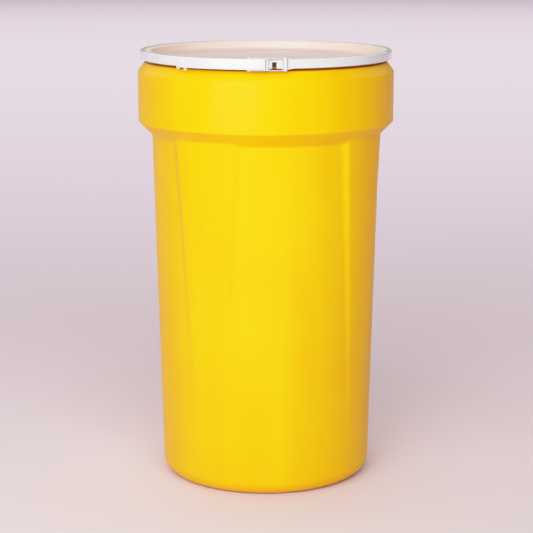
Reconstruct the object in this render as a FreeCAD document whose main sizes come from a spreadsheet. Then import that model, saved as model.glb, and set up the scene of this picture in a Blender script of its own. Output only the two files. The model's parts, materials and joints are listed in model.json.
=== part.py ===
import FreeCAD, Part
import math
import os

import Sketcher

# Open-head poly drum with a drop-in lid and a lever-lock ring.
# Millimetres, +Z up, origin at the centre of the underside, the latch at the front (-Y).
# Angles round the drum are taken from the front, growing towards +X.
os.makedirs("parts", exist_ok=True)
doc = FreeCAD.newDocument("LeverLockDrum")

SIZES = (
    ("wall", 5.0, "drum wall thickness"),
    ("foot_radius", 251.6, "body radius if its taper ran down to the floor"),
    ("foot_corner", 37.0, "radius of the rounded bottom edge"),
    ("body_top_radius", 272.3, "body radius under the collar"),
    ("body_top", 832.5, "height where the body meets the collar's lower chamfer"),
    ("collar_radius", 304.8, "collar radius, a 24 inch drum"),
    ("collar_bottom", 865.0, "lower edge of the upright collar"),
    ("collar_top", 982.5, "upper edge of the upright collar"),
    ("collar_round", 6.0, "rounding of the collar's two edges"),
    ("neck_radius", 286.5, "neck under the rim bead"),
    ("neck_bottom", 1007.0, "height where the upper chamfer meets the neck"),
    ("bead_radius", 292.6, "rim bead that the ring hooks under"),
    ("bead_bottom", 1014.0, "underside of the rim bead"),
    ("rim_top", 1024.1, "top of the rim, under the gasket"),
    ("groove_inner", 90.0, "inner radius of the stiffening groove in the underside"),
    ("groove_outer", 190.0, "outer radius of that groove"),
    ("groove_depth", 6.0, "depth of that groove"),
    ("upper_shift", 1.5, "drop of the two inner corners above the collar, for an even wall"),
    ("lower_shift", 2.0, "rise of the two inner corners below the collar, for an even wall"),
    ("rib_turn", 31.2, "angle from the front to the nearest rib, towards -X"),
    ("rib_top", 844.0, "height where a rib runs into the collar's chamfer"),
    ("rib_foot", 70.0, "height where a rib has faded into the body"),
    ("rib_top_radius", 281.1, "crest radius of a rib at its top"),
    ("rib_foot_radius", 253.0, "crest radius of a rib at its foot"),
    ("rib_top_half", 16.0, "half angle of the crest at the top"),
    ("rib_foot_half", 7.5, "half angle of the crest at the foot"),
    ("rib_top_slope", 4.2, "angle that a rib's side takes up at the top"),
    ("rib_foot_slope", 0.9, "angle that a rib's side takes up at the foot"),
    ("rib_root", 2.5, "depth that a rib's solid starts inside the wall"),
    ("rib_hollow_trim", 0.3, "angle that a rib's hollow is narrower by on each side"),
    ("lid_steel_gap", 0.2, "air between the lid and the ring's top flange"),
    ("lid_thick", 3.5, "lid thickness"),
    ("lid_recess", 23.0, "depth of the lid's panel below the ring's top"),
    ("lid_wall_radius", 276.0, "outside of the lid's recess wall"),
    ("lid_radius", 296.5, "outer edge of the lid"),
    ("lid_skirt_bottom", 1026.0, "lower edge of the lid's outer skirt"),
    ("lid_skirt", 2.8, "thickness of that skirt"),
    ("lid_round", 6.0, "rounding between the recess wall and the panel"),
    ("gasket_inner", 283.5, "inner radius of the gasket"),
    ("gasket_outer", 293.5, "outer radius of the gasket's seat"),
    ("gasket_thick", 3.4, "gasket thickness when closed"),
    ("gasket_lip_inner", 293.2, "inside of the lip that wraps over the rim"),
    ("gasket_lip_outer", 296.2, "outside of that lip"),
    ("gasket_lip_bottom", 1015.0, "lower edge of that lip"),
    ("ring_radius", 299.0, "outside of the lock ring"),
    ("ring_bottom", 1011.5, "underside of the lock ring"),
    ("ring_top", 1033.0, "top of the lock ring"),
    ("ring_steel", 1.5, "ring steel thickness"),
    ("ring_lip_top", 288.3, "inner radius of the top flange"),
    ("ring_lip_bottom", 289.5, "inner radius of the bottom flange"),
    ("gap_middle", 3.65, "angle of the middle of the ring's gap"),
    ("gap_width", 1.9, "angle across the ring's gap"),
    ("bracket_steel", 1.5, "steel of the bracket, keeper and lug"),
    ("weld_gap", 0.1, "weld bed between the ring and its keeper"),
    ("hinge_x", 3.0, "lever hinge, sideways from the middle"),
    ("hinge_out", 304.8, "lever hinge, forwards of the drum's axis"),
    ("lever_pin_x", -38.0, "link pin in the lever, sideways"),
    ("lever_pin_out", 304.3, "link pin in the lever, forwards"),
    ("keeper_pin_x", 43.6, "link pin in the keeper, sideways"),
    ("keeper_pin_out", 302.3, "link pin in the keeper, forwards"),
    ("pin_radius", 2.5, "shank radius of the three pins"),
    ("pin_play", 0.06, "radial running clearance of a pin"),
    ("pin_head_radius", 4.0, "head radius of the three pins"),
    ("bracket_left", -24.0, "left end of the lever bracket's plate"),
    ("bracket_right", 13.0, "right end of the lever bracket's plate"),
    ("bracket_half", 9.6, "half height of the lever bracket's plate"),
    ("ear_radius", 4.3, "rounding of the bracket's two ears"),
    ("ear_inner", 8.4, "inner face of an ear, from the ring's mid height"),
    ("ear_outer", 9.9, "outer face of an ear, from the ring's mid height"),
    ("lever_inner", 11.2, "inner face of a lever flange, from mid height"),
    ("lever_outer", 12.4, "outer face of a lever flange, from mid height"),
    ("lever_lip_radius", 297.3, "inner edge of the lever's flanges"),
    ("lever_web_radius", 309.5, "inside of the lever's web"),
    ("lever_radius", 310.7, "outside of the lever's web"),
    ("lever_tip", -38.7, "angle of the lever's tip"),
    ("lever_web_end", -1.0, "right end of the lever's web, sideways"),
    ("lever_eye", 7.4, "rounding of the lever's flanges at the hinge"),
    ("link_inner", 13.0, "inner face of a link plate, from mid height"),
    ("link_outer", 14.5, "outer face of a link plate, from mid height"),
    ("link_half_width", 4.6, "half width of a link plate"),
    ("pin_head", 0.9, "height of a pin head"),
    ("pin_head_flat", 2.8, "radius of the flat on top of a pin head"),
    ("rivet_proud", 0.2, "how far the hinge rivet stands out of the lever"),
    ("sleeve_radius", 3.8, "roller on the keeper pin"),
    ("sleeve_play", 0.2, "clearance at each end of that roller"),
    ("seat_play", 1.2, "clearance between that roller and its open seat"),
    ("seat_half", 8.0, "half height of the keeper's seat"),
    ("seat_lip", 1.5, "depth of the seat's lips below the roller's middle"),
    ("keeper_left", 36.0, "left end of the keeper's plate"),
    ("keeper_right", 64.0, "right end of the keeper's plate"),
    ("keeper_half", 12.2, "half height of the keeper's plate beside the seat"),
    ("keeper_tail_half", 9.6, "half height of the keeper's plate at its tail"),
    ("keeper_trim", 1.0, "how far the cut of the taper runs past the keeper's end"),
    ("seal_hole", 1.6, "radius of the two seal holes"),
    ("eye_angle", -35.6, "angle of the seal eye on the lever"),
    ("eye_radius", 4.2, "outside radius of the seal eye"),
    ("eye_drop", 14.2, "middle of the seal eye below mid height"),
    ("eye_joggle", 0.3, "how far the seal eye is set in from the web"),
    ("lug_angle", -41.2, "angle of the seal lug on the ring"),
    ("lug_half_width", 5.0, "half width of the seal lug"),
    ("lug_top", 8.0, "top of the seal lug above mid height"),
    ("lug_bottom", 16.4, "bottom of the seal lug below mid height"),
    ("lug_hole_drop", 13.4, "hole of the seal lug below mid height"),
)

sheet = doc.addObject("Spreadsheet::Sheet", "Dims")
for row, (alias, number, meaning) in enumerate(SIZES, start=1):
    sheet.set(f"A{row}", meaning)
    sheet.set(f"B{row}", str(number))
    sheet.setAlias(f"B{row}", alias)
doc.recompute()


class Size:
    """A number together with the sheet expression that it comes from."""

    def __init__(self, value, text):
        self.value = value
        self.text = text

    def __add__(self, other):
        other = as_size(other)
        return Size(self.value + other.value, f"({self.text} + {other.text})")

    def __sub__(self, other):
        other = as_size(other)
        return Size(self.value - other.value, f"({self.text} - {other.text})")

    def __mul__(self, other):
        other = as_size(other)
        return Size(self.value * other.value, f"({self.text} * {other.text})")

    def __truediv__(self, other):
        other = as_size(other)
        return Size(self.value / other.value, f"({self.text} / {other.text})")

    def __neg__(self):
        return Size(-self.value, f"(-1 * {self.text})")


def as_size(thing):
    """Gives a plain number the same form as a size from the sheet."""
    if isinstance(thing, Size):
        return thing
    return Size(float(thing), str(float(thing)))


def size(alias):
    """The size with this alias, bound to its cell."""
    return Size(float(sheet.get(alias)), f"Dims.{alias}")


def round_front(radius, angle):
    """The plan point at a radius and an angle from the front: (r sin a, -r cos a)."""
    sine = Size(math.sin(math.radians(angle.value)), f"sin({angle.text} * 1 deg)")
    cosine = Size(math.cos(math.radians(angle.value)), f"cos({angle.text} * 1 deg)")
    return radius * sine, -(radius * cosine)


def on_circle(radius, sideways):
    """The plan point at the front of a circle round the axis: (x, -sqrt(r r - x x))."""
    square = radius * radius - sideways * sideways
    return sideways, -Size(math.sqrt(square.value), f"sqrt({square.text})")


def bind(thing, name, amount):
    """Ties a property of a feature to the sheet."""
    thing.setExpression(name, as_size(amount).text)


def origin_part(body, role):
    """The plane or axis of the body's own origin that plays this role."""
    for feature in body.Origin.OriginFeatures:
        if feature.Role == role:
            return feature
    raise RuntimeError(f"no {role} in {body.Label}")


def new_body(name):
    """An empty body whose label names its file."""
    body = doc.addObject("PartDesign::Body", name)
    body.Label = name
    return body


def new_sketch(body, name, role="XY_Plane", lift=None, turn=None):
    """A sketch on one of the body's own origin planes, lifted and turned if asked."""
    sketch = body.newObject("Sketcher::SketchObject", name)
    sketch.AttachmentSupport = [(origin_part(body, role), "")]
    sketch.MapMode = "FlatFace"
    if turn is not None:
        spin = FreeCAD.Rotation(FreeCAD.Vector(0, 0, 1), turn.value)
        sketch.AttachmentOffset = FreeCAD.Placement(FreeCAD.Vector(0, 0, 0), spin)
        bind(sketch, "AttachmentOffset.Rotation.Angle", turn)
    if lift is not None:
        bind(sketch, "AttachmentOffset.Base.z", lift)
    return sketch


def tangent_sketch(body, name, radius, angle):
    """An upright sketch that faces outwards at a radius and an angle from the front."""
    sketch = new_sketch(body, name, "XZ_Plane")
    spin = FreeCAD.Rotation(FreeCAD.Vector(0, 1, 0), angle.value)
    sketch.AttachmentOffset = FreeCAD.Placement(FreeCAD.Vector(0, 0, 0), spin)
    across, back = round_front(radius, angle)
    bind(sketch, "AttachmentOffset.Rotation.Angle", angle)
    bind(sketch, "AttachmentOffset.Base.x", across)
    bind(sketch, "AttachmentOffset.Base.z", -back)
    return sketch


def fix(sketch, part, end, across=None, up=None):
    """Holds one end of a line or arc at bound distances from the sketch's origin."""
    for kind, amount, axis in (("DistanceX", across, -2), ("DistanceY", up, -1)):
        if amount is None:
            continue
        amount = as_size(amount)
        if amount.value == 0.0:
            sketch.addConstraint(Sketcher.Constraint("PointOnObject", part, end, axis))
            continue
        index = sketch.addConstraint(Sketcher.Constraint(kind, -1, 1, part, end, amount.value))
        sketch.setExpression(f"Constraints[{index}]", amount.text)


def vector(point):
    """A plan or profile point as a FreeCAD vector."""
    return FreeCAD.Vector(as_size(point[0]).value, as_size(point[1]).value, 0)


def outline(sketch, points):
    """A closed outline of straight lines through bound points."""
    first = sketch.GeometryCount
    for place, start in enumerate(points):
        end = points[(place + 1) % len(points)]
        sketch.addGeometry(Part.LineSegment(vector(start), vector(end)), False)
    for place, start in enumerate(points):
        line = first + place
        after = first + (place + 1) % len(points)
        sketch.addConstraint(Sketcher.Constraint("Coincident", line, 2, after, 1))
        fix(sketch, line, 1, start[0], start[1])


def circle(sketch, centre, radius):
    """A circle with a bound centre and radius."""
    upright = FreeCAD.Vector(0, 0, 1)
    index = sketch.addGeometry(Part.Circle(vector(centre), upright, radius.value), False)
    fix(sketch, index, 3, centre[0], centre[1])
    rule = sketch.addConstraint(Sketcher.Constraint("Radius", index, radius.value))
    sketch.setExpression(f"Constraints[{rule}]", radius.text)


def arc_about(sketch, centre, start, end, half_turn=False):
    """An arc, anticlockwise, whose centre and start are bound; its end is level with its centre in a
    half turn, and otherwise has a bound sideways place."""
    middle = vector(centre)
    first = vector(start) - middle
    last = vector(end) - middle
    turn_first = math.atan2(first.y, first.x)
    turn_last = math.atan2(last.y, last.x)
    ring = Part.Circle(middle, FreeCAD.Vector(0, 0, 1), first.Length)
    index = sketch.addGeometry(Part.ArcOfCircle(ring, turn_first, turn_last), False)
    if middle.Length == 0.0:
        sketch.addConstraint(Sketcher.Constraint("Coincident", index, 3, -1, 1))
    else:
        fix(sketch, index, 3, centre[0], centre[1])
    fix(sketch, index, 1, start[0], start[1])
    if half_turn:
        fix(sketch, index, 2, None, end[1])
    else:
        fix(sketch, index, 2, end[0], None)
    return index


def joined(sketch, first, first_end, second, second_end):
    """A straight line that closes the gap between two arcs."""
    start = sketch.getPoint(first, first_end)
    end = sketch.getPoint(second, second_end)
    line = sketch.addGeometry(Part.LineSegment(start, end), False)
    sketch.addConstraint(Sketcher.Constraint("Coincident", line, 1, first, first_end))
    sketch.addConstraint(Sketcher.Constraint("Coincident", line, 2, second, second_end))


def curved_strip(sketch, inner_start, inner_end, outer_start, outer_end):
    """A strip between two arcs round the drum's axis, closed by straight ends."""
    inner = arc_about(sketch, (0, 0), inner_start, inner_end)
    outer = arc_about(sketch, (0, 0), outer_start, outer_end)
    joined(sketch, inner, 1, outer, 1)
    joined(sketch, inner, 2, outer, 2)


def pad(body, name, sketch, length, both_ways=False):
    """Thickens a sketch upwards, or evenly to both sides of its plane."""
    feature = body.newObject("PartDesign::Pad", name)
    feature.Profile = sketch
    if both_ways:
        feature.SideType = "Symmetric"
    bind(feature, "Length", length)
    body.Tip = feature
    return feature


def cut_through(body, name, sketch, length):
    """Cuts a sketch out evenly to both sides of its plane."""
    feature = body.newObject("PartDesign::Pocket", name)
    feature.Profile = sketch
    feature.SideType = "Symmetric"
    bind(feature, "Length", length)
    body.Tip = feature
    return feature


def revolve(body, name, sketch, angle=None):
    """Turns a profile round the upright axis: all the way, or evenly to both sides."""
    feature = body.newObject("PartDesign::Revolution", name)
    feature.Profile = sketch
    feature.ReferenceAxis = (sketch, ["V_Axis"])
    if angle is not None:
        feature.Midplane = True
        bind(feature, "Angle", angle)
    body.Tip = feature
    return feature


def round_edges(body, name, radius, circles):
    """Fillets the round edges found at these (radius, height) places."""
    doc.recompute()
    base = body.Tip
    chosen = []
    for number, edge in enumerate(base.Shape.Edges, start=1):
        if not isinstance(edge.Curve, Part.Circle):
            continue
        for ring_radius, height in circles:
            same_size = abs(edge.Curve.Radius - ring_radius.value) < 0.05
            same_height = abs(edge.Curve.Center.z - height.value) < 0.05
            if same_size and same_height:
                chosen.append(f"Edge{number}")
    if not chosen:
        raise RuntimeError(f"no edge to round for {name}")
    feature = body.newObject("PartDesign::Fillet", name)
    feature.Base = (base, chosen)
    bind(feature, "Radius", radius)
    body.Tip = feature
    return feature


def place(body, height, turn=None, across=None, back=None):
    """Puts a body at a height above the floor, and turns it round the upright axis."""
    if turn is not None:
        body.Placement = FreeCAD.Placement(
            FreeCAD.Vector(0, 0, 0), FreeCAD.Rotation(FreeCAD.Vector(0, 0, 1), turn.value)
        )
        bind(body, "Placement.Rotation.Angle", turn)
    bind(body, "Placement.Base.z", height)
    if across is not None:
        bind(body, "Placement.Base.x", across)
        bind(body, "Placement.Base.y", back)


wall = size("wall")
ring_middle = (size("ring_bottom") + size("ring_top")) / 2
hinge = (size("hinge_x"), -size("hinge_out"))
lever_pin = (size("lever_pin_x"), -size("lever_pin_out"))
keeper_pin = (size("keeper_pin_x"), -size("keeper_pin_out"))
hole_radius = size("pin_radius") + size("pin_play")

# A cut this many times as long as what it goes through comes out at both sides.
THROUGH = 3
RIBS = 4


def rib_section(body, name, level, crest_radius, crest_half, root_radius, root_half):
    """A rib cut level: an arc for the crest, an arc inside the wall and two sloping sides."""
    sketch = new_sketch(body, name, lift=level, turn=-size("rib_turn"))
    crest = arc_about(
        sketch, (0, 0), round_front(crest_radius, -crest_half), round_front(crest_radius, crest_half)
    )
    root = arc_about(
        sketch, (0, 0), round_front(root_radius, -root_half), round_front(root_radius, root_half)
    )
    joined(sketch, crest, 1, root, 1)
    joined(sketch, crest, 2, root, 2)
    return sketch


def rib_loft(body, name, kind, inset):
    """One rib from its foot to its top, repeated at quarter turns; inset makes its hollow."""
    slope = (size("body_top_radius") - size("foot_radius")) / size("body_top")
    sections = []
    for word in ("foot", "top"):
        level = size(f"rib_{word}")
        crest_radius = size(f"rib_{word}_radius") - inset
        crest_half = size(f"rib_{word}_half")
        root_radius = size("foot_radius") + slope * level - size("rib_root") - inset
        root_half = crest_half + size(f"rib_{word}_slope")
        if inset.value > 0:
            crest_half = crest_half - size("rib_hollow_trim")
            root_half = root_half - size("rib_hollow_trim")
        sections.append(
            rib_section(body, f"{name}_{word}", level, crest_radius, crest_half, root_radius, root_half)
        )
    loft = body.newObject(kind, name)
    loft.Profile = sections[0]
    loft.Sections = [sections[1]]
    loft.Ruled = True
    body.Tip = loft
    doc.recompute()
    pattern = body.newObject("PartDesign::PolarPattern", f"{name}_round")
    pattern.Originals = [loft]
    pattern.Axis = (origin_part(body, "Z_Axis"), [""])
    pattern.Angle = 360
    pattern.Occurrences = RIBS
    body.Tip = pattern


def make_drum_body():
    """The moulded drum: tapered body, upright collar, neck, rim bead and four hollow ribs."""
    body = new_body("drum_body")
    sketch = new_sketch(body, "drum_profile", "XZ_Plane")
    inner_collar = size("collar_radius") - wall
    inner_neck = size("neck_radius") - wall
    groove_run = size("groove_depth")
    floor = wall
    outline(
        sketch,
        [
            (0, 0),
            (size("groove_inner"), 0),
            (size("groove_inner") + groove_run, size("groove_depth")),
            (size("groove_outer") - groove_run, size("groove_depth")),
            (size("groove_outer"), 0),
            (size("foot_radius"), 0),
            (size("body_top_radius"), size("body_top")),
            (size("collar_radius"), size("collar_bottom")),
            (size("collar_radius"), size("collar_top")),
            (size("neck_radius"), size("neck_bottom")),
            (size("neck_radius"), size("bead_bottom")),
            (size("bead_radius"), size("bead_bottom")),
            (size("bead_radius"), size("rim_top")),
            (inner_neck, size("rim_top")),
            (inner_neck, size("neck_bottom") - size("upper_shift")),
            (inner_collar, size("collar_top") - size("upper_shift")),
            (inner_collar, size("collar_bottom") + size("lower_shift")),
            (size("body_top_radius") - wall, size("body_top") + size("lower_shift")),
            (size("foot_radius") - wall, floor),
            (size("groove_outer") + wall, floor),
            (size("groove_outer"), floor + size("groove_depth")),
            (size("groove_inner"), floor + size("groove_depth")),
            (size("groove_inner") - wall, floor),
            (0, floor),
        ],
    )
    revolve(body, "drum_shell", sketch)
    round_edges(body, "bottom_corner", size("foot_corner"), [(size("foot_radius"), as_size(0))])
    round_edges(body, "inner_corner", size("foot_corner") - wall, [(size("foot_radius") - wall, floor)])
    rib_loft(body, "rib", "PartDesign::AdditiveLoft", as_size(0))
    rib_loft(body, "rib_hollow", "PartDesign::SubtractiveLoft", wall)
    edges = [
        (size("collar_radius"), size("collar_bottom")),
        (size("collar_radius"), size("collar_top")),
    ]
    round_edges(body, "collar_edges", size("collar_round"), edges)
    return body


def make_lid():
    """The drop-in lid: a recessed panel, an upright wall, a flange on the rim and a skirt."""
    body = new_body("lid")
    sketch = new_sketch(body, "lid_profile", "XZ_Plane")
    thick = size("lid_thick")
    top = size("ring_top") - size("ring_steel") - size("lid_steel_gap")
    panel = size("ring_top") - size("lid_recess")
    inner_wall = size("lid_wall_radius") - thick
    skirt_inner = size("lid_radius") - size("lid_skirt")
    outline(
        sketch,
        [
            (0, panel - thick),
            (size("lid_wall_radius"), panel - thick),
            (size("lid_wall_radius"), top - thick),
            (skirt_inner, top - thick),
            (skirt_inner, size("lid_skirt_bottom")),
            (size("lid_radius"), size("lid_skirt_bottom")),
            (size("lid_radius"), top),
            (inner_wall, top),
            (inner_wall, panel),
            (0, panel),
        ],
    )
    revolve(body, "lid_shell", sketch)
    round_edges(body, "panel_fillet", size("lid_round"), [(inner_wall, panel)])
    round_edges(body, "plug_corner", size("lid_round"), [(size("lid_wall_radius"), panel - thick)])
    return body


def make_lid_gasket():
    """The rubber gasket: a flat seat between lid and rim, and a lip that wraps over the rim."""
    body = new_body("lid_gasket")
    sketch = new_sketch(body, "gasket_profile", "XZ_Plane")
    top = size("ring_top") - size("ring_steel") - size("lid_steel_gap") - size("lid_thick")
    bottom = top - size("gasket_thick")
    outline(
        sketch,
        [
            (size("gasket_inner"), bottom),
            (size("gasket_lip_inner"), bottom),
            (size("gasket_lip_inner"), size("gasket_lip_bottom")),
            (size("gasket_lip_outer"), size("gasket_lip_bottom")),
            (size("gasket_lip_outer"), size("lid_skirt_bottom")),
            (size("gasket_outer"), size("lid_skirt_bottom")),
            (size("gasket_outer"), top),
            (size("gasket_inner"), top),
        ],
    )
    revolve(body, "gasket_ring", sketch)
    return body


def make_ring_band():
    """The split steel ring: a channel open to the drum, with its gap near the front."""
    body = new_body("ring_band")
    sketch = new_sketch(body, "ring_profile", "XZ_Plane")
    steel = size("ring_steel")
    outline(
        sketch,
        [
            (size("ring_lip_bottom"), size("ring_bottom")),
            (size("ring_radius"), size("ring_bottom")),
            (size("ring_radius"), size("ring_top")),
            (size("ring_lip_top"), size("ring_top")),
            (size("ring_lip_top"), size("ring_top") - steel),
            (size("ring_radius") - steel, size("ring_top") - steel),
            (size("ring_radius") - steel, size("ring_bottom") + steel),
            (size("ring_lip_bottom"), size("ring_bottom") + steel),
        ],
    )
    revolve(body, "ring_channel", sketch, angle=as_size(360) - size("gap_width"))
    place(body, as_size(0), turn=size("gap_middle") + 90)
    return body


def make_lever_bracket():
    """The hinge bracket welded to the ring's left end: a curved plate with two ears."""
    body = new_body("lever_bracket")
    near = size("ring_radius")
    far = near + size("bracket_steel")
    sketch = new_sketch(body, "bracket_plan")
    left = size("bracket_left")
    right = size("bracket_right")
    curved_strip(
        sketch, on_circle(near, left), on_circle(near, right), on_circle(far, left), on_circle(far, right)
    )
    pad(body, "bracket_plate", sketch, size("bracket_half") * 2, both_ways=True)
    ear_thick = size("ear_outer") - size("ear_inner")
    for word, level in (("upper", size("ear_inner")), ("lower", -size("ear_outer"))):
        ear = new_sketch(body, f"{word}_ear_plan", lift=level)
        start = (hinge[0] + size("ear_radius"), hinge[1])
        finish = (hinge[0] - size("ear_radius"), hinge[1])
        root_right = (start[0], -near - size("bracket_steel") / 2)
        root_left = (finish[0], -near - size("bracket_steel") / 2)
        nose = arc_about(ear, hinge, finish, start, half_turn=True)
        side = ear.addGeometry(Part.LineSegment(vector(start), vector(root_right)), False)
        root = ear.addGeometry(Part.LineSegment(vector(root_right), vector(root_left)), False)
        other = ear.addGeometry(Part.LineSegment(vector(root_left), vector(finish)), False)
        ear.addConstraint(Sketcher.Constraint("Coincident", nose, 2, side, 1))
        ear.addConstraint(Sketcher.Constraint("Coincident", side, 2, root, 1))
        ear.addConstraint(Sketcher.Constraint("Coincident", root, 2, other, 1))
        ear.addConstraint(Sketcher.Constraint("Coincident", other, 2, nose, 1))
        fix(ear, root, 1, root_right[0], root_right[1])
        fix(ear, root, 2, root_left[0], root_left[1])
        circle(ear, hinge, size("pin_radius"))
        pad(body, f"{word}_ear", ear, ear_thick)
    place(body, ring_middle)
    return body


def make_pin(name, centre, reach):
    """A headed pin standing upright at a plan point; reach is half its grip."""
    body = new_body(name)
    sketch = new_sketch(body, f"{name}_profile", "XZ_Plane")
    radius = size("pin_radius")
    head = size("pin_head_radius")
    end = reach + size("pin_head")
    outline(
        sketch,
        [
            (0, -end),
            (size("pin_head_flat"), -end),
            (head, -reach),
            (radius, -reach),
            (radius, reach),
            (head, reach),
            (size("pin_head_flat"), end),
            (0, end),
        ],
    )
    revolve(body, f"{name}_turned", sketch)
    place(body, ring_middle, across=centre[0], back=centre[1])
    return body


def make_hinge_pin():
    """The lever's hinge pin, a plain rivet flush with the lever so that the link passes over it."""
    body = new_body("lever_hinge_pin")
    sketch = new_sketch(body, "hinge_pin_profile", "XZ_Plane")
    reach = size("lever_outer") + size("rivet_proud")
    radius = size("pin_radius")
    outline(sketch, [(0, -reach), (radius, -reach), (radius, reach), (0, reach)])
    revolve(body, "hinge_pin_turned", sketch)
    place(body, ring_middle, across=hinge[0], back=hinge[1])
    return body


def add_seal_eye(body):
    """The pierced eye that hangs from the lever's web near its tip."""
    depth = size("lever_radius") - size("lever_web_radius")
    face = size("lever_web_radius") - size("eye_joggle")
    eye = tangent_sketch(body, "seal_eye_face", face, size("eye_angle"))
    circle(eye, (0, -size("eye_drop")), size("eye_radius"))
    pad(body, "seal_eye", eye, depth)
    bore = tangent_sketch(body, "seal_bore_face", face, size("eye_angle"))
    circle(bore, (0, -size("eye_drop")), size("seal_hole"))
    cut_through(body, "seal_bore", bore, depth * THROUGH)


def make_lever_handle():
    """The over-centre lever: a curved channel over the ring, with a seal eye at its tip."""
    body = new_body("lever_handle")
    tip = size("lever_tip")
    web_in = size("lever_web_radius")
    web_out = size("lever_radius")
    web = new_sketch(body, "web_plan")
    web_end = size("lever_web_end")
    curved_strip(
        web,
        round_front(web_in, tip),
        on_circle(web_in, web_end),
        round_front(web_out, tip),
        on_circle(web_out, web_end),
    )
    pad(body, "lever_web", web, size("lever_outer") * 2, both_ways=True)
    thick = size("lever_outer") - size("lever_inner")
    lip = size("lever_lip_radius")
    for word, level in (("upper", size("lever_inner")), ("lower", -size("lever_outer"))):
        flange = new_sketch(body, f"{word}_flange_plan", lift=level)
        curved_strip(
            flange,
            round_front(lip, tip),
            on_circle(lip, hinge[0]),
            round_front(web_out, tip),
            on_circle(web_out, web_end),
        )
        pad(body, f"{word}_flange", flange, thick)
        eye = new_sketch(body, f"{word}_hinge_eye", lift=level)
        circle(eye, hinge, size("lever_eye"))
        pad(body, f"{word}_eye", eye, thick)
    holes = new_sketch(body, "lever_holes")
    circle(holes, hinge, hole_radius)
    circle(holes, lever_pin, hole_radius)
    cut_through(body, "lever_bores", holes, size("lever_outer") * THROUGH)
    add_seal_eye(body)
    place(body, ring_middle)
    return body


def make_link_plate(name, level):
    """One of the two straps that tie the lever to the keeper."""
    body = new_body(name)
    sketch = new_sketch(body, f"{name}_plan", lift=level)
    half = size("link_half_width")
    across = keeper_pin[0] - lever_pin[0]
    along = keeper_pin[1] - lever_pin[1]
    length = math.hypot(across.value, along.value)
    span = Size(length, f"sqrt({across.text} ^ 2 + {along.text} ^ 2)")
    side = (-(along / span) * half, across / span * half)
    corners = [
        (lever_pin[0] - side[0], lever_pin[1] - side[1]),
        (keeper_pin[0] - side[0], keeper_pin[1] - side[1]),
        (keeper_pin[0] + side[0], keeper_pin[1] + side[1]),
        (lever_pin[0] + side[0], lever_pin[1] + side[1]),
    ]
    outline(sketch, corners)
    thick = size("link_outer") - size("link_inner")
    pad(body, f"{name}_strap", sketch, thick)
    for word, centre in (("left", lever_pin), ("right", keeper_pin)):
        end = new_sketch(body, f"{name}_{word}_end", lift=level)
        circle(end, centre, half)
        pad(body, f"{name}_{word}_round", end, thick)
    holes = new_sketch(body, f"{name}_holes")
    circle(holes, lever_pin, size("pin_radius"))
    circle(holes, keeper_pin, size("pin_radius"))
    cut_through(body, f"{name}_bores", holes, size("link_outer") * THROUGH)
    place(body, ring_middle)
    return body


def make_keeper_sleeve():
    """The roller on the keeper pin, between the two link plates."""
    body = new_body("keeper_sleeve")
    sketch = new_sketch(body, "sleeve_plan")
    circle(sketch, (0, 0), size("sleeve_radius"))
    circle(sketch, (0, 0), hole_radius)
    pad(body, "sleeve_tube", sketch, (size("link_inner") - size("sleeve_play")) * 2, both_ways=True)
    place(body, ring_middle, across=keeper_pin[0], back=keeper_pin[1])
    return body


def make_ring_keeper():
    """The keeper welded to the ring's right end: a curved plate and a seat open outwards."""
    body = new_body("ring_keeper")
    near = size("ring_radius") + size("weld_gap")
    far = near + size("bracket_steel")
    left = size("keeper_left")
    right = size("keeper_right")
    sketch = new_sketch(body, "keeper_plan")
    curved_strip(
        sketch, on_circle(near, left), on_circle(near, right), on_circle(far, left), on_circle(far, right)
    )
    pad(body, "keeper_plate", sketch, size("keeper_half") * 2, both_ways=True)
    inner = size("sleeve_radius") + size("seat_play")
    outer = inner + size("bracket_steel")
    seat = new_sketch(body, "seat_plan")
    circle(seat, keeper_pin, outer)
    pad(body, "seat_block", seat, size("seat_half") * 2, both_ways=True)
    hollow = new_sketch(body, "seat_hollow_plan")
    circle(hollow, keeper_pin, inner)
    cut_through(body, "seat_hollow", hollow, size("keeper_half") * THROUGH)
    ring_side = new_sketch(body, "ring_side_plan")
    circle(ring_side, (0, 0), near)
    cut_through(body, "ring_side", ring_side, size("keeper_half") * THROUGH)
    front = new_sketch(body, "seat_front_plan")
    edge = keeper_pin[1] + size("seat_lip")
    clear = outer * 2
    outline(
        front,
        [
            (keeper_pin[0] - clear, edge),
            (keeper_pin[0] - clear, edge - clear),
            (keeper_pin[0] + clear, edge - clear),
            (keeper_pin[0] + clear, edge),
        ],
    )
    cut_through(body, "seat_mouth", front, size("keeper_half") * THROUGH)
    trim = new_sketch(body, "keeper_face", "XZ_Plane")
    for way in (1, -1):
        tail = size("keeper_tail_half") * way
        full = size("keeper_half") * way
        beyond = size("keeper_half") * 2 * way
        outline(
            trim,
            [
                (keeper_pin[0] + outer, full),
                (right + size("keeper_trim"), tail),
                (right + size("keeper_trim"), beyond),
                (keeper_pin[0] + outer, beyond),
            ],
        )
    cut_through(body, "keeper_taper", trim, near * THROUGH)
    place(body, ring_middle)
    return body


def make_seal_lug():
    """The pierced lug welded to the ring beside the lever's tip."""
    body = new_body("seal_lug")
    near = size("ring_radius")
    sketch = new_sketch(body, "lug_face", "XZ_Plane", lift=near)
    half = size("lug_half_width")
    outline(
        sketch,
        [
            (-half, -size("lug_bottom") + half / 2),
            (-half / 2, -size("lug_bottom")),
            (half / 2, -size("lug_bottom")),
            (half, -size("lug_bottom") + half / 2),
            (half, size("lug_top")),
            (-half, size("lug_top")),
        ],
    )
    circle(sketch, (0, -size("lug_hole_drop")), size("seal_hole"))
    pad(body, "lug_plate", sketch, size("bracket_steel"))
    place(body, ring_middle, turn=size("lug_angle"))
    return body


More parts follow.
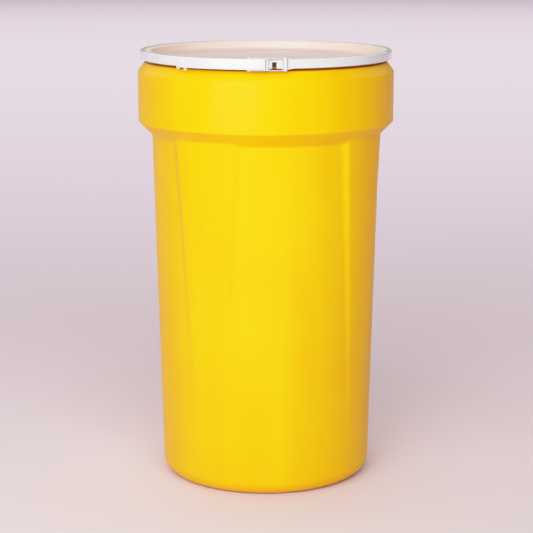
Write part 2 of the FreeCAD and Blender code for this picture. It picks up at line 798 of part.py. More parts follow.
def build_all():
    """Every sub-part of the drum, each a body of its own."""
    return [
        make_drum_body(),
        make_lid(),
        make_lid_gasket(),
        make_ring_band(),
        make_lever_bracket(),
        make_hinge_pin(),
        make_lever_handle(),
        make_pin("link_lever_pin", lever_pin, size("link_outer")),
        make_link_plate("link_upper_plate", size("link_inner")),
        make_link_plate("link_lower_plate", -size("link_outer")),
        make_keeper_sleeve(),
        make_pin("link_keeper_pin", keeper_pin, size("link_outer")),
        make_ring_keeper(),
        make_seal_lug(),
    ]


bodies = build_all()
doc.recompute()
for thing in doc.Objects:
    if "Invalid" in thing.State or "Error" in thing.State:
        raise RuntimeError(f"{thing.Name} did not build: {thing.State}")
for body in bodies:
    shape = body.Shape
    if shape.isNull() or not shape.isValid() or len(shape.Solids) != 1:
        raise RuntimeError(f"{body.Label} is not one valid solid")
    print(f"{body.Label}: {shape.Volume / 1000:.1f} cm3, box {shape.BoundBox}")
    shape.exportStep(f"parts/{body.Label}.step")
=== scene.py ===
import json
import math

import bmesh
import bpy
import numpy as np
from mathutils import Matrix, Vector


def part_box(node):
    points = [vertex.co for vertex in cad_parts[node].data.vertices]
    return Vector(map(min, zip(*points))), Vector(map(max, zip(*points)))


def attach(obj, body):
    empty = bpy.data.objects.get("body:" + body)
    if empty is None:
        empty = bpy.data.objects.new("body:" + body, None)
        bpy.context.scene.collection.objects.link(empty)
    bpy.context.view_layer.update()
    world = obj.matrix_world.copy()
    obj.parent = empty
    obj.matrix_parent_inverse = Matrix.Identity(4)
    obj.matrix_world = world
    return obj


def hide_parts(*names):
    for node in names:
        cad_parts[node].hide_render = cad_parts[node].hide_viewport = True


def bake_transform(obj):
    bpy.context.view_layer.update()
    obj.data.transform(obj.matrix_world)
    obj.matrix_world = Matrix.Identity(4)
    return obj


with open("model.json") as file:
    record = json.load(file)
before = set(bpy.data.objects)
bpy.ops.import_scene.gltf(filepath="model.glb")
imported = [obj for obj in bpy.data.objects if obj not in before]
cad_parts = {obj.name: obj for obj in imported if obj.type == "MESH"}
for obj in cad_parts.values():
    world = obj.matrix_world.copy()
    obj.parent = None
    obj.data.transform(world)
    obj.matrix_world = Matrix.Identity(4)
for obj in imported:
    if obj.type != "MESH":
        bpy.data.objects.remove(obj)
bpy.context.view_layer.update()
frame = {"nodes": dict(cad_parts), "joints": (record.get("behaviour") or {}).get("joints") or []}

joints = {joint["name"]: joint for joint in frame["joints"]}


# ---- Drum body ---------------------------------------------------------------------------
# One moulded polyethylene shell about 5 mm thick: a tapered body with four shallow hollow
# ribs, a wide upright collar between two chamfers, a neck, and a bead that the ring grips.
# It stands on its rounded foot; everything else rests on its rim.


def rounded_outline(corners):
    """Points along straight runs whose corners are arcs. A corner is (x, y, rounding, arc
    steps, run steps). An arc leaves its runs at rounding / tan(half the corner's angle) and
    turns evenly about a centre on the corner's bisector; run steps divide the run after it."""
    spots = np.array([corner[:2] for corner in corners], float)
    pieces = []
    for index, (_, _, rounding, arc_steps, _) in enumerate(corners):
        arc = spots[index][None]
        if rounding > 0:
            back = spots[index - 1] - spots[index]
            ahead = spots[index + 1] - spots[index]
            back /= np.linalg.norm(back)
            ahead /= np.linalg.norm(ahead)
            half = math.acos(back @ ahead) / 2
            middle = (back + ahead) / np.linalg.norm(back + ahead)
            centre = spots[index] + middle * rounding / math.sin(half)
            first = spots[index] + back * rounding / math.tan(half) - centre
            last = spots[index] + ahead * rounding / math.tan(half) - centre
            turn = math.pi - 2 * half
            share = np.linspace(0, 1, arc_steps + 1)[:, None]
            sweep = np.sin((1 - share) * turn) * first + np.sin(share * turn) * last
            arc = centre + sweep / math.sin(turn)
        if pieces:
            start = pieces[-1][-1]
            share = np.linspace(0, 1, corners[index - 1][4] + 1)[1:-1, None]
            pieces.append(start + (arc[0] - start) * share)
            if not len(pieces[-1]):
                pieces.pop()
        pieces.append(arc)
    return np.concatenate(pieces)


def skin(name, grids, material, body, capped=False, crease=32):
    """One piece from grids of points, rows by columns: each cell of a grid is a face, and the
    last column meets the first. Points that coincide are merged, which closes poles and
    seams; capped closes the first and last rows with a face. Faces are turned outwards."""
    shape = bmesh.new()
    for grid in grids:
        rows, columns, _ = grid.shape
        number = np.arange(rows * columns).reshape(rows, columns)
        beside = np.roll(number, -1, axis=1)
        cells = np.stack([number[:-1], beside[:-1], beside[1:], number[1:]], -1).reshape(-1, 4)
        faces = cells.tolist()
        if capped:
            faces += [number[0].tolist(), number[-1].tolist()]
        part = bpy.data.meshes.new(name)
        part.from_pydata(grid.reshape(-1, 3).tolist(), [], faces)
        shape.from_mesh(part)
        bpy.data.meshes.remove(part)
    bmesh.ops.remove_doubles(shape, verts=shape.verts, dist=1e-6)
    bmesh.ops.recalc_face_normals(shape, faces=shape.faces)
    mesh = bpy.data.meshes.new(name)
    shape.to_mesh(mesh)
    shape.free()
    mesh.shade_smooth()
    mesh.set_sharp_from_angle(angle=math.radians(crease))
    mesh.materials.append(material)
    piece = bpy.data.objects.new(name, mesh)
    bpy.context.scene.collection.objects.link(piece)
    if body:
        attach(piece, body)
    return piece


def turned(profile, columns, centre=(0, 0, 0)):
    """A grid turned round an upright axis: x = r sin a, y = -r cos a, z along the profile."""
    angle = np.linspace(0, 2 * math.pi, columns, endpoint=False)[None, :]
    radius = profile[:, 0][:, None]
    height = profile[:, 1][:, None] + 0 * angle
    grid = np.stack([radius * np.sin(angle), -radius * np.cos(angle), height], -1)
    return grid + np.array(centre)


class Wire:
    """A socket in a material's nodes. Sums, products and a number less a wire add Math nodes."""

    def __init__(self, tree, socket=None):
        self.tree = tree
        self.socket = socket

    def node(self, kind, settings, given, out=0):
        """Adds a node, makes its settings, then fills its sockets with values or wires."""
        made = self.tree.nodes.new("ShaderNode" + kind)
        for name, setting in settings.items():
            if name == "stops":
                while len(made.color_ramp.elements) < len(setting):
                    made.color_ramp.elements.new(0.5)
                for element, (spot, colour) in zip(made.color_ramp.elements, setting):
                    element.position = spot
                    element.color = colour
            else:
                setattr(made, name, setting)
        for name, value in given.items():
            if isinstance(value, Wire):
                self.tree.links.new(value.socket, made.inputs[name])
            else:
                made.inputs[name].default_value = value
        return Wire(self.tree, made.outputs[out])

    def maths(self, operation, first, second):
        """One Math node on two values."""
        return self.node("Math", {"operation": operation}, {0: first, 1: second})

    def __add__(self, other):
        return self.maths("ADD", self, other)

    __radd__ = __add__

    def __mul__(self, other):
        return self.maths("MULTIPLY", self, other)

    def __rsub__(self, other):
        return self.maths("SUBTRACT", other, self)

    def noise(self, scale, detail=2.0, roughness=0.5, stretch=(1, 1, 1)):
        """Noise on this wire's place, from 0 to 1; stretch squeezes it along each axis."""
        spot = self.node("Mapping", {}, {"Vector": self, "Scale": stretch})
        settings = {"Vector": spot, "Scale": scale, "Detail": detail, "Roughness": roughness}
        return self.node("TexNoise", {}, settings, "Fac")

    def between(self, low, high):
        """0 below low, 1 above high, and a smooth rise between."""
        given = {"Value": self, "From Min": low, "From Max": high}
        return self.node("MapRange", {"interpolation_type": "SMOOTHSTEP"}, given)

    def tint(self, first, second):
        """The first colour where this wire is 0, the second where it is 1."""
        return self.node("Mix", {"data_type": "RGBA"}, {0: self, 6: first, 7: second}, 2)


def finish(name, metallic=0.0, coat=0.0, coat_roughness=0.1, specular=0.5, sheen=(1, 1, 1, 1)):
    """A new material: gives it, a wire for its place on the object, and its shader node.
    Specular is how strongly the surface mirrors, and sheen is the colour of that mirroring."""
    material = bpy.data.materials.new(name)
    material.use_nodes = True
    tree = material.node_tree
    shader = tree.nodes["Principled BSDF"]
    shader.inputs["Metallic"].default_value = metallic
    shader.inputs["Coat Weight"].default_value = coat
    shader.inputs["Coat Roughness"].default_value = coat_roughness
    shader.inputs["Specular IOR Level"].default_value = specular
    shader.inputs["Specular Tint"].default_value = sheen
    place = Wire(tree).node("TexCoord", {}, {}, "Object")
    return material, place, shader


def feed(shader, **wires):
    """Links wires to the shader's sockets; an underscore in a name stands for a space."""
    for name, wire in wires.items():
        wire.tree.links.new(wire.socket, shader.inputs[name.replace("_", " ")])


def moulded_yellow():
    """Pigmented polyethylene: cloudy pigment drawn into faint upright streaks, a fine peel from
    the mould, a slow unevenness of the wall, and scuffs round the foot. A brown band in the
    outer corner of the neck stands in for the shadow that the lock ring would cast there."""
    warm = (1.0, 0.7, 0.05, 1)
    material, place, shader = finish(
        "moulded_yellow", coat=0.17, coat_roughness=0.23, specular=0.08, sheen=warm
    )
    cloud = place.noise(5.0, detail=3.0)
    speck = place.noise(240.0, detail=2.0)
    scuff = place.noise(26.0, detail=6.0, roughness=0.7, stretch=(1.0, 1.0, 0.35))
    height = place.node("SeparateXYZ", {}, {"Vector": place}, "Z")
    foot = 1 - height.between(0.012, 0.075)
    scuffed = scuff.between(0.56, 0.72) * foot
    streak = place.noise(15.0, detail=3.0, stretch=(1.0, 1.0, 0.05))
    pigment = cloud * 0.4 + streak * 0.45 + speck * 0.15
    base = pigment.between(0.3, 0.7).tint((0.93, 0.445, 0.0, 1), (0.94, 0.510, 0.001, 1))
    colour = (scuffed * 0.35).tint(base, (0.93, 0.66, 0.20, 1))
    plan = place.node("VectorMath", {"operation": "MULTIPLY"}, {0: place, 1: (1, 1, 0)}, "Vector")
    radius = plan.node("VectorMath", {"operation": "LENGTH"}, {0: plan}, "Value")
    in_corner = height.between(1.0030, 1.0062) * (1 - height.between(1.0120, 1.0142))
    ring_shade = in_corner * radius.between(0.2835, 0.2850)
    colour = (ring_shade * 0.92).tint(colour, (0.17, 0.035, 0.006, 1))
    peel = place.noise(420.0, detail=2.0)
    wave = place.noise(7.0, detail=1.0)
    relief = peel * 0.00003 + wave * 0.0008
    bump = place.node("Bump", {}, {"Strength": 1.0, "Distance": 1.0, "Height": relief}, "Normal")
    rough = 0.44 + cloud * 0.06 + speck * 0.04 + scuffed * 0.2
    feed(shader, Base_Color=colour, Roughness=rough, Normal=bump)
    return material


_, drum_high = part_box("drum_body")
collar_radius = drum_high.x
rim_top = drum_high.z
wall = 0.005
foot_radius = 0.2516
foot_corner = 0.037
body_top = 0.8325
body_top_radius = 0.2723
collar_bottom = 0.865
collar_top = 0.9825
neck_radius = 0.2865
neck_bottom = 1.007
bead_radius = 0.2926
bead_bottom = 1.014
groove_inner = 0.090
groove_outer = 0.190
groove_depth = 0.006
upper_shift = 0.3 * wall
lower_shift = 0.4 * wall
rib_centre = math.radians(-31.2)
rib_foot = 0.070
rib_top = 0.844
rib_foot_crest = 0.2530
rib_top_crest = 0.2811
rib_foot_half = 7.5
rib_top_half = 16
drum_columns = 448

drum_profile = rounded_outline(
    [
        (0, 0, 0, 0, 3),
        (groove_inner, 0, 0.003, 3, 1),
        (groove_inner + groove_depth, groove_depth, 0.003, 3, 2),
        (groove_outer - groove_depth, groove_depth, 0.003, 3, 1),
        (groove_outer, 0, 0.003, 3, 1),
        (foot_radius, 0, foot_corner, 12, 56),
        (body_top_radius, body_top, 0.007, 5, 5),
        (collar_radius, collar_bottom, 0.0050, 7, 10),
        (collar_radius, collar_top, 0.0045, 7, 4),
        (neck_radius, neck_bottom, 0.005, 4, 1),
        (neck_radius, bead_bottom, 0.001, 2, 1),
        (bead_radius, bead_bottom, 0.002, 4, 1),
        (bead_radius, rim_top, 0.002, 4, 1),
        (neck_radius - wall, rim_top, 0.0025, 4, 2),
        (neck_radius - wall, neck_bottom - upper_shift, 0.006, 3, 3),
        (collar_radius - wall, collar_top - upper_shift, 0.006, 3, 5),
        (collar_radius - wall, collar_bottom + lower_shift, 0.006, 3, 3),
        (body_top_radius - wall, body_top + lower_shift, 0.006, 3, 30),
        (foot_radius - wall, wall, foot_corner - wall, 8, 1),
        (groove_outer + wall, wall, 0.003, 2, 1),
        (groove_outer, wall + groove_depth, 0.003, 2, 2),
        (groove_inner, wall + groove_depth, 0.003, 2, 1),
        (groove_inner - wall, wall, 0.003, 2, 2),
        (0, wall, 0, 0, 1),
    ]
)


def ribbed(radius, height, angle, inset):
    """The radius with four ribs added. A rib's crest is a cone; beside the crest's edges its
    sides fall at an even slope, rounded by (x + root(x x + w w)) / 2, and rib and body meet
    by the same rounded greater of the two. Crest and half width taper from top to foot."""
    share = (height - rib_foot) / (rib_top - rib_foot)
    crest = rib_foot_crest + (rib_top_crest - rib_foot_crest) * share - inset
    half = np.radians(rib_foot_half + (rib_top_half - rib_foot_half) * share)
    quarter = math.pi / 2
    off = np.abs((angle - rib_centre + quarter / 2) % quarter - quarter / 2)
    beyond = (off - half) * crest
    edge = 0.002
    fall = 0.48 * (beyond + np.sqrt(beyond**2 + edge**2)) / 2
    fade = 0.6 * np.clip(rib_foot - height, 0, None)
    rib = crest - fall - fade
    blend = 0.0012
    raised = (radius + rib + np.sqrt((radius - rib) ** 2 + blend**2)) / 2
    on_body = (height > 0.045) & (height < 0.858) & (radius > foot_radius - 2 * wall)
    return np.where(on_body, raised, radius)


# Columns crowd towards the ribs: angle = turn - 0.11 sin(4 (turn - rib's centre)).
drum_turn = np.linspace(0, 2 * math.pi, drum_columns, endpoint=False)
drum_angle = (drum_turn - 0.11 * np.sin(4 * (drum_turn - rib_centre)))[None, :]
drum_grid = turned(drum_profile, drum_columns)
outer_rows = np.argmax(drum_profile[:, 1] > rim_top - 0.0001)
profile_radius = drum_profile[:, 0][:, None]
profile_height = drum_profile[:, 1][:, None]
inset = np.where(np.arange(len(drum_profile)) < outer_rows, 0.0, wall)[:, None]
ribbed_radius = ribbed(profile_radius, profile_height, drum_angle, inset)
drum_grid[:, :, 0] = ribbed_radius * np.sin(drum_angle)
drum_grid[:, :, 1] = -ribbed_radius * np.cos(drum_angle)
yellow = moulded_yellow()
drum = skin("drum_shell", [drum_grid], yellow, "drum")
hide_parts("drum_body")


# ---- Lid ---------------------------------------------------------------------------------
# A drop-in lid moulded in natural polyethylene: a flange over the rim with a skirt outside it,
# a plug wall inside the neck, and a flat panel stiffened by two low concentric steps.


def natural_lid():
    """Unpigmented polyethylene: warm white, slightly cloudy, with a fine peel and swirls that
    the moulding leaves round the gate. The panel is painted in a darker copy of that colour
    than the wall and flange: painted shade on the panel."""
    material, place, shader = finish("natural_lid", specular=0.5)
    cloud = place.noise(9.0, detail=4.0)
    ring = place.node(
        "TexWave",
        {"wave_type": "RINGS", "rings_direction": "Z"},
        {"Vector": place, "Scale": 22.0, "Distortion": 1.5, "Detail": 2.0},
        "Fac",
    )
    shade = cloud * 0.8 + ring * 0.2
    thick = shade.tint((0.90, 0.695, 0.57, 1), (0.96, 0.765, 0.65, 1))
    # painted shade: a darker copy of the lid's colour, laid on the panel by height below
    panel_painted_shade = shade.tint((0.72, 0.54, 0.51, 1), (0.78, 0.60, 0.56, 1))
    height = place.node("SeparateXYZ", {}, {"Vector": place}, "Z")
    colour = height.between(lid_panel + 0.002, lid_panel + 0.009).tint(panel_painted_shade, thick)
    peel = place.noise(380.0)
    wave = place.noise(12.0, detail=1.0)
    relief = peel * 0.00003 + wave * 0.0005
    bump = place.node("Bump", {}, {"Strength": 1.0, "Distance": 1.0, "Height": relief}, "Normal")
    rough = 0.30 + cloud * 0.10
    feed(shader, Base_Color=colour, Roughness=rough, Normal=bump)
    return material


lid_low, lid_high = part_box("lid")
lid_thick = 0.0035
lid_panel = lid_low.z + lid_thick
lid_wall_radius = 0.276
lid_inner_wall = lid_wall_radius - lid_thick
lid_radius = 0.2965
skirt_bottom = 1.026
skirt_inner = lid_radius - 0.0028
step_height = 0.0012
lid_profile = rounded_outline(
    [
        (0, lid_low.z, 0, 0, 4),
        (lid_wall_radius, lid_low.z, 0.006, 6, 2),
        (lid_wall_radius, lid_high.z - lid_thick, 0.001, 2, 2),
        (skirt_inner, lid_high.z - lid_thick, 0.001, 2, 2),
        (skirt_inner, skirt_bottom, 0.0008, 2, 1),
        (lid_radius, skirt_bottom, 0.0008, 3, 2),
        (lid_radius, lid_high.z, 0.0022, 5, 2),
        (lid_inner_wall, lid_high.z, 0.0022, 5, 3),
        (lid_inner_wall - 0.0008, lid_panel, 0.007, 8, 3),
        (0.226, lid_panel, 0.003, 3, 1),
        (0.222, lid_panel + step_height, 0.003, 3, 4),
        (0.142, lid_panel + step_height, 0.003, 3, 1),
        (0.138, lid_panel, 0.003, 3, 4),
        (0, lid_panel, 0, 0, 1),
    ]
)
cream = natural_lid()
lid = skin("lid_shell", [turned(lid_profile, 256)], cream, "lid")
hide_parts("lid")


# ---- Lid gasket --------------------------------------------------------------------------
# An L-shaped ring of black rubber stretched on the lid: its seat is squeezed between the lid
# and the rim, and its lip wraps over the outside of the rim's bead.


def black_rubber():
    """Rubber: nearly black, dull, with a fine grain."""
    material, place, shader = finish("black_rubber", specular=0.3)
    grain = place.noise(600.0)
    colour = grain.tint((0.018, 0.018, 0.018, 1), (0.034, 0.033, 0.032, 1))
    relief = grain * 0.00005
    bump = place.node("Bump", {}, {"Strength": 1.0, "Distance": 1.0, "Height": relief}, "Normal")
    feed(shader, Base_Color=colour, Roughness=0.62 + grain * 0.2, Normal=bump)
    return material


gasket_low, gasket_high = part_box("lid_gasket")
gasket_inner = 0.2835
gasket_seat = 0.2935
gasket_lip = 0.2932
seat_low = rim_top + 0.0003
seat_middle = 0.288
gasket_profile = rounded_outline(
    [
        (seat_middle, seat_low, 0, 0, 1),
        (gasket_lip, seat_low, 0.0004, 2, 1),
        (gasket_lip, gasket_low.z, 0.0009, 3, 1),
        (gasket_high.x, gasket_low.z, 0.0012, 4, 2),
        (gasket_high.x, skirt_bottom, 0.0006, 3, 1),
        (gasket_seat, skirt_bottom, 0.0004, 2, 1),
        (gasket_seat, gasket_high.z, 0.0004, 2, 1),
        (gasket_inner, gasket_high.z, 0.001, 3, 1),
        (gasket_inner, seat_low, 0.001, 3, 1),
        (seat_middle, seat_low, 0, 0, 1),
    ]
)
rubber = black_rubber()
gasket = skin("gasket_ring", [turned(gasket_profile, 192)], rubber, "lid")
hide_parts("lid_gasket")


# ---- Lock ring ---------------------------------------------------------------------------
# A split band rolled from steel strip to a channel that is open to the drum, enamelled white.
# Its two flanges draw the lid and the rim bead together; it springs open from its back.


def white_enamel(name="white_enamel", chips=0.5):
    """Baked white enamel on steel: glossy under a clear coat, with a soft peel, slow clouds in
    the white, and a few small dull chips that show the grey steel."""
    material, place, shader = finish(name, coat=1.0, coat_roughness=0.10)
    cloud = place.noise(18.0, detail=3.0)
    speck = place.noise(330.0, detail=4.0, roughness=0.7)
    chip = speck.between(0.68, 0.73) * chips
    paint = cloud.tint((0.68, 0.68, 0.695, 1), (0.76, 0.76, 0.765, 1))
    colour = chip.tint(paint, (0.40, 0.39, 0.38, 1))
    peel = place.noise(260.0)
    wave = place.noise(30.0, detail=1.0)
    relief = peel * 0.00002 + wave * 0.0001
    bump = place.node("Bump", {}, {"Strength": 1.0, "Distance": 1.0, "Height": relief}, "Normal")
    rough = 0.24 + cloud * 0.08 + chip * 0.4
    feed(shader, Base_Color=colour, Roughness=rough, Normal=bump)
    return material


def sheet_outline(path, thickness):
    """The closed outline of bent sheet: the path moved half its thickness to each side."""
    along = np.gradient(path, axis=0)
    along /= np.linalg.norm(along, axis=1)[:, None]
    side = np.stack([along[:, 1], -along[:, 0]], -1) * thickness / 2
    return np.concatenate([path + side, (path - side)[::-1]])


def carried(section, degrees):
    """A section of (radius, height) points carried round the drum's axis through the angles,
    which are counted from the front towards +X: x = r sin a, y = -r cos a."""
    angle = np.radians(degrees)[:, None]
    radius = section[:, 0][None, :]
    height = section[:, 1][None, :] + 0 * angle
    return np.stack([radius * np.sin(angle), -radius * np.cos(angle), height], -1)


ring_low, ring_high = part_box("ring_band")
ring_radius = 0.299
ring_steel = 0.0015
ring_middle = (ring_low.z + ring_high.z) / 2
web_line = ring_radius - ring_steel / 2
ring_lip_bottom = 0.2895
ring_lip_top = 0.2883
ring_bend = 0.0024
ring_path = rounded_outline(
    [
        (ring_lip_bottom, ring_low.z + ring_steel / 2, 0, 0, 4),
        (web_line, ring_low.z + ring_steel / 2, ring_bend, 6, 4),
        (web_line, ring_high.z - ring_steel / 2, ring_bend, 6, 4),
        (ring_lip_top, ring_high.z - ring_steel / 2, 0, 0, 1),
    ]
)
ring_section = sheet_outline(ring_path, ring_steel)
gap_left = 2.7
gap_right = 4.6
back_seam = 186.0
enamel = white_enamel()
left_ring = skin(
    "ring_left",
    [carried(ring_section, np.linspace(back_seam - 360, gap_left, 220))],
    enamel,
    "ring",
    capped=True,
)
right_ring = skin(
    "ring_right",
    [carried(ring_section, np.linspace(gap_right, back_seam, 220))],
    enamel,
    None,
    capped=True,
)
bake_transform(right_ring)
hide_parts("ring_band")
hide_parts("ring_band")


# ---- Lever bracket, keeper and seal lug --------------------------------------------------
# Pressed steel pieces spot-welded to the ring's ends and enamelled with it: the hinge bracket
# with its two ears, the keeper with its open seat and tapered tail, and the pierced lug.

for node in ("lever_bracket", "ring_keeper", "seal_lug"):
    welded = frame["nodes"][node]
    welded.data.materials.clear()
    welded.data.materials.append(enamel)


# ---- Lever -------------------------------------------------------------------------------
# A long curved channel of pressed steel that closes over the ring. Its flanges run on past its
# web to the hinge as two round eyes, and a pierced eye for a seal hangs at its tip. No pin
# holes are cut in the flanges here: the hinge pin and the link's pin run through solid plate.


def slab(outline, low, high, edge):
    """A flat plate from a closed plan outline, with its rims bevelled by edge: four rows, the
    first and last moved inwards along the outline's own normals."""
    along = np.roll(outline, -1, axis=0) - np.roll(outline, 1, axis=0)
    along /= np.linalg.norm(along, axis=1)[:, None]
    inward = np.stack([-along[:, 1], along[:, 0]], -1) * edge
    turning = np.cross(outline - np.roll(outline, 1, axis=0), np.roll(outline, -1, axis=0) - outline)
    if turning.sum() < 0:
        inward = -inward
    rows = []
    for level, shift in ((low, 1), (low + edge, 0), (high - edge, 0), (high, 1)):
        plan = outline + inward * shift
        rows.append(np.column_stack([plan, np.full(len(plan), level)]))
    return np.array(rows)


hinge_x, hinge_y, _ = joints["lever_swing"]["pos_m"]
lever_steel = 0.0012
lever_half = 0.0124
lever_lip = 0.2973
lever_web = 0.3107 - lever_steel / 2
lever_tip = -38.7
web_end = math.degrees(math.asin(-0.001 / lever_web))
lever_path = rounded_outline(
    [
        (lever_lip, ring_middle - lever_half + lever_steel / 2, 0, 0, 4),
        (lever_web, ring_middle - lever_half + lever_steel / 2, 0.0026, 6, 5),
        (lever_web, ring_middle + lever_half - lever_steel / 2, 0.0026, 6, 4),
        (lever_lip, ring_middle + lever_half - lever_steel / 2, 0, 0, 1),
    ]
)
lever_section = sheet_outline(lever_path, lever_steel)
lever_grids = [carried(lever_section, np.linspace(lever_tip, web_end, 90))]
eye_radius = 0.0074
eye_turn = np.linspace(-2.14, 2.14, 28)
eye_x = hinge_x + eye_radius * np.cos(eye_turn)
eye_y = hinge_y + eye_radius * np.sin(eye_turn)
eye_plan = np.column_stack([eye_x, eye_y])
for level in (ring_middle - lever_half, ring_middle + lever_half - lever_steel):
    lever_grids.append(slab(eye_plan, level, level + lever_steel, 0.0002))
lever = skin("lever_channel", lever_grids, enamel, "lever", capped=True)
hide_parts("lever_handle")


def pierced_disc(outer, hole, thickness, degrees, radius, height):
    """A round eye with a hole, upright and facing outwards at an angle and radius: a rounded
    oblong section turned about the eye's own axis, then laid along tangent, up and outward."""
    half = thickness / 2
    rim = rounded_outline(
        [
            ((outer + hole) / 2, -half, 0, 0, 1),
            (outer, -half, thickness * 0.3, 3, 1),
            (outer, half, thickness * 0.3, 3, 1),
            (hole, half, thickness * 0.2, 2, 1),
            (hole, -half, thickness * 0.2, 2, 1),
            ((outer + hole) / 2, -half, 0, 0, 1),
        ]
    )
    local = turned(rim, 32)
    angle = math.radians(degrees)
    tangent = np.array([math.cos(angle), math.sin(angle), 0])
    outward = np.array([math.sin(angle), -math.cos(angle), 0])
    up = np.array([0, 0, 1])
    centre = outward * radius + up * height
    return centre + local[..., :1] * tangent + local[..., 1:2] * up + local[..., 2:3] * outward


seal_height = ring_middle - 0.0142
seal_grid = pierced_disc(0.0042, 0.0016, lever_steel, -35.6, 0.3098, seal_height)
skin("seal_eye", [seal_grid], enamel, "lever")


# ---- Link --------------------------------------------------------------------------------
# Two flat steel straps, one above and one below the ring, that tie the lever to the keeper.
# Each end turns on a headed pin; the keeper's pin carries a roller between the straps.


def strap(first, second, half_width, low, high):
    """A strap with round ends about two plan points: each end is a half turn about its point."""
    reach = np.array(second) - np.array(first)
    heading = math.atan2(reach[1], reach[0])
    turn = np.linspace(-math.pi / 2, math.pi / 2, 17)
    far = heading + turn
    near = heading + math.pi + turn
    right = np.array(second) + half_width * np.column_stack([np.cos(far), np.sin(far)])
    left = np.array(first) + half_width * np.column_stack([np.cos(near), np.sin(near)])
    return slab(np.concatenate([right, left]), low, high, 0.0003)


def middle_of(node):
    """The plan point in the middle of a CAD node's box."""
    low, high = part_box(node)
    return ((low.x + high.x) / 2, (low.y + high.y) / 2)


lever_pin_place = middle_of("link_lever_pin")
keeper_pin_place = middle_of("link_keeper_pin")
for name, node in (("link_strap_upper", "link_upper_plate"), ("link_strap_lower", "link_lower_plate")):
    low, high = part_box(node)
    grid = strap(lever_pin_place, keeper_pin_place, 0.0046, low.z, high.z)
    piece = skin(name, [grid], enamel, "link", capped=True)
    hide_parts(node)


# ---- Pins and roller ---------------------------------------------------------------------
# Turned steel pins, riveted over and enamelled like the ring. The hinge pin is flush so that
# the straps pass over it; the two link pins have domed heads outside the straps.


def pin_profile(node, shank, head, head_height):
    """Half a pin's outline, from its lower pole to its upper one, with domed heads."""
    low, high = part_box(node)
    dome = head_height * 0.95
    return rounded_outline(
        [
            (0, low.z, 0, 0, 1),
            (head * 0.82, low.z, dome * 0.6, 4, 1),
            (head, low.z + head_height, 0.0001, 1, 1),
            (shank, low.z + head_height, 0, 0, 2),
            (shank, high.z - head_height, 0, 0, 1),
            (head, high.z - head_height, 0.0001, 1, 1),
            (head * 0.82, high.z, dome * 0.6, 4, 1),
            (0, high.z, 0, 0, 1),
        ]
    )


pin_shank = 0.0025
pin_head = 0.0040
pin_head_height = 0.0009
pin_enamel = white_enamel("pin_enamel", chips=0.8)
for name, node, place in (
    ("lever_pin", "link_lever_pin", lever_pin_place),
    ("keeper_pin", "link_keeper_pin", keeper_pin_place),
):
    grid = turned(pin_profile(node, pin_shank, pin_head, pin_head_height), 36, (*place, 0))
    pin = skin(name, [grid], pin_enamel, "link")
    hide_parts(node)

hinge_low, hinge_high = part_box("lever_hinge_pin")
hinge_profile = rounded_outline(
    [
        (0, hinge_low.z, 0, 0, 1),
        (pin_shank, hinge_low.z, 0.0004, 3, 3),
        (pin_shank, hinge_high.z, 0.0004, 3, 1),
        (0, hinge_high.z, 0, 0, 1),
    ]
)
hinge_grid = turned(hinge_profile, 32, (hinge_x, hinge_y, 0))
hinge_pin = skin("hinge_pin", [hinge_grid], pin_enamel, "ring")
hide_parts("lever_hinge_pin")

sleeve_low, sleeve_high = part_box("keeper_sleeve")
roller_radius = 0.0038
roller_bore = 0.00256
roller_middle = 0.0032
sleeve_profile = rounded_outline(
    [
        (roller_middle, sleeve_low.z, 0, 0, 1),
        (roller_radius, sleeve_low.z, 0.0003, 2, 4),
        (roller_radius, sleeve_high.z, 0.0003, 2, 1),
        (roller_bore, sleeve_high.z, 0.0002, 2, 4),
        (roller_bore, sleeve_low.z, 0.0002, 2, 1),
        (roller_middle, sleeve_low.z, 0, 0, 1),
    ]
)
sleeve_grid = turned(sleeve_profile, 36, (*keeper_pin_place, 0))
sleeve = skin("keeper_roller", [sleeve_grid], pin_enamel, "link")
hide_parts("keeper_sleeve")


# ---- Floor, lights and camera ------------------------------------------------------------
# A pale floor under a dim room, with painted light: darker near the front, lighter far behind.
# A soft box at the front left makes the drum's highlight, a broad one in front and a weak one
# overhead fill, and one behind lights the floor.


def pale_floor():
    """Pale matt paper with a trace of pink, painted darker and beiger towards the front and
    lighter and pinker far behind: painted light.
    """
    material, place, shader = finish("pale_floor", specular=0.2)
    cloud = place.noise(0.7)
    away = place.node("SeparateXYZ", {}, {"Vector": place}, "Y")
    # painted light: the floor's colour runs from darker near the front to lighter far behind
    colour = away.between(-1.5, 5.0).tint((0.74, 0.62, 0.64, 1), (0.97, 0.80, 0.91, 1))
    feed(shader, Base_Color=colour, Roughness=0.75 + cloud * 0.1)
    return material


floor_mesh = bpy.data.meshes.new("floor")
floor_reach = 60.0
unit_corners = [(-1, -1, 0), (1, -1, 0), (1, 1, 0), (-1, 1, 0)]
floor_corners = [(floor_reach * x, floor_reach * y, z) for x, y, z in unit_corners]
floor_mesh.from_pydata(floor_corners, [], [(0, 1, 2, 3)])
floor_mesh.materials.append(pale_floor())
floor = bpy.data.objects.new("floor", floor_mesh)
bpy.context.scene.collection.objects.link(floor)


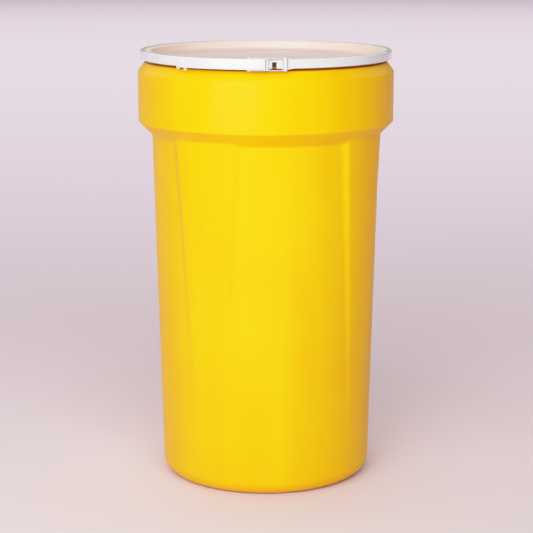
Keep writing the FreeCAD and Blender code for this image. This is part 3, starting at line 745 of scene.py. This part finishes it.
def soft_box(name, place, target, width, height, watts, mirrored=True):
    """An area light at a place, turned to face a target; gloss shows it where it is mirrored."""
    light = bpy.data.lights.new(name, "AREA")
    light.shape = "RECTANGLE"
    light.size = width
    light.size_y = height
    light.energy = watts
    lamp = bpy.data.objects.new(name, light)
    lamp.location = place
    facing = (Vector(target) - Vector(place)).to_track_quat("-Z", "Y")
    lamp.rotation_euler = facing.to_euler()
    lamp.visible_glossy = mirrored
    bpy.context.scene.collection.objects.link(lamp)


soft_box("key", (-1.15, -2.45, 1.4), (0, 0, 1.0), 2.1, 1.7, 40)
soft_box("broad", (0.3, -4.3, 2.7), (0, 0, 0.4), 5.0, 2.2, 173, mirrored=False)
soft_box("above", (-0.5, -2.2, 3.8), (0, 0, 0.5), 3.0, 2.0, 24)
soft_box("behind", (0.0, 13.0, 7.0), (0, 13.0, 0.0), 26.0, 20.0, 1500)

world = bpy.data.worlds.new("studio")
world.use_nodes = True
room = world.node_tree.nodes["Background"]
room.inputs["Color"].default_value = (1.0, 0.96, 0.98, 1)
bearing = Wire(world.node_tree).node("TexCoord", {}, {}, "Generated")
brighter = (-0.18, 0.12, 0.05)
slope = bearing.node("VectorMath", {"operation": "DOT_PRODUCT"}, {0: bearing, 1: brighter}, "Value")
room_light = 0.22
world.node_tree.links.new((slope + room_light).socket, room.inputs["Strength"])
bpy.context.scene.world = world

# Film's response: straight up to the middle tones, then a soft shoulder that holds the whites.
response = bpy.context.scene.view_settings
response.view_transform = "Standard"
response.use_curve_mapping = True
white = 2.4
response.curve_mapping.white_level = (white, white, white)
shoulder = response.curve_mapping.curves[3]
for exposed, shown in ((0.55, 0.55), (0.80, 0.745), (1.24, 0.915), (1.7, 0.98)):
    shoulder.points.new(exposed / white, shown)
response.curve_mapping.update()

camera_data = bpy.data.cameras.new("camera")
camera_data.sensor_width = 36.0
camera_data.lens = 114.8
camera = bpy.data.objects.new("camera", camera_data)
camera.location = (0.0016, -4.066, 1.3492)
camera.rotation_euler = (math.radians(90 - 11.748), 0, 0)
bpy.context.scene.collection.objects.link(camera)
bpy.context.scene.camera = camera
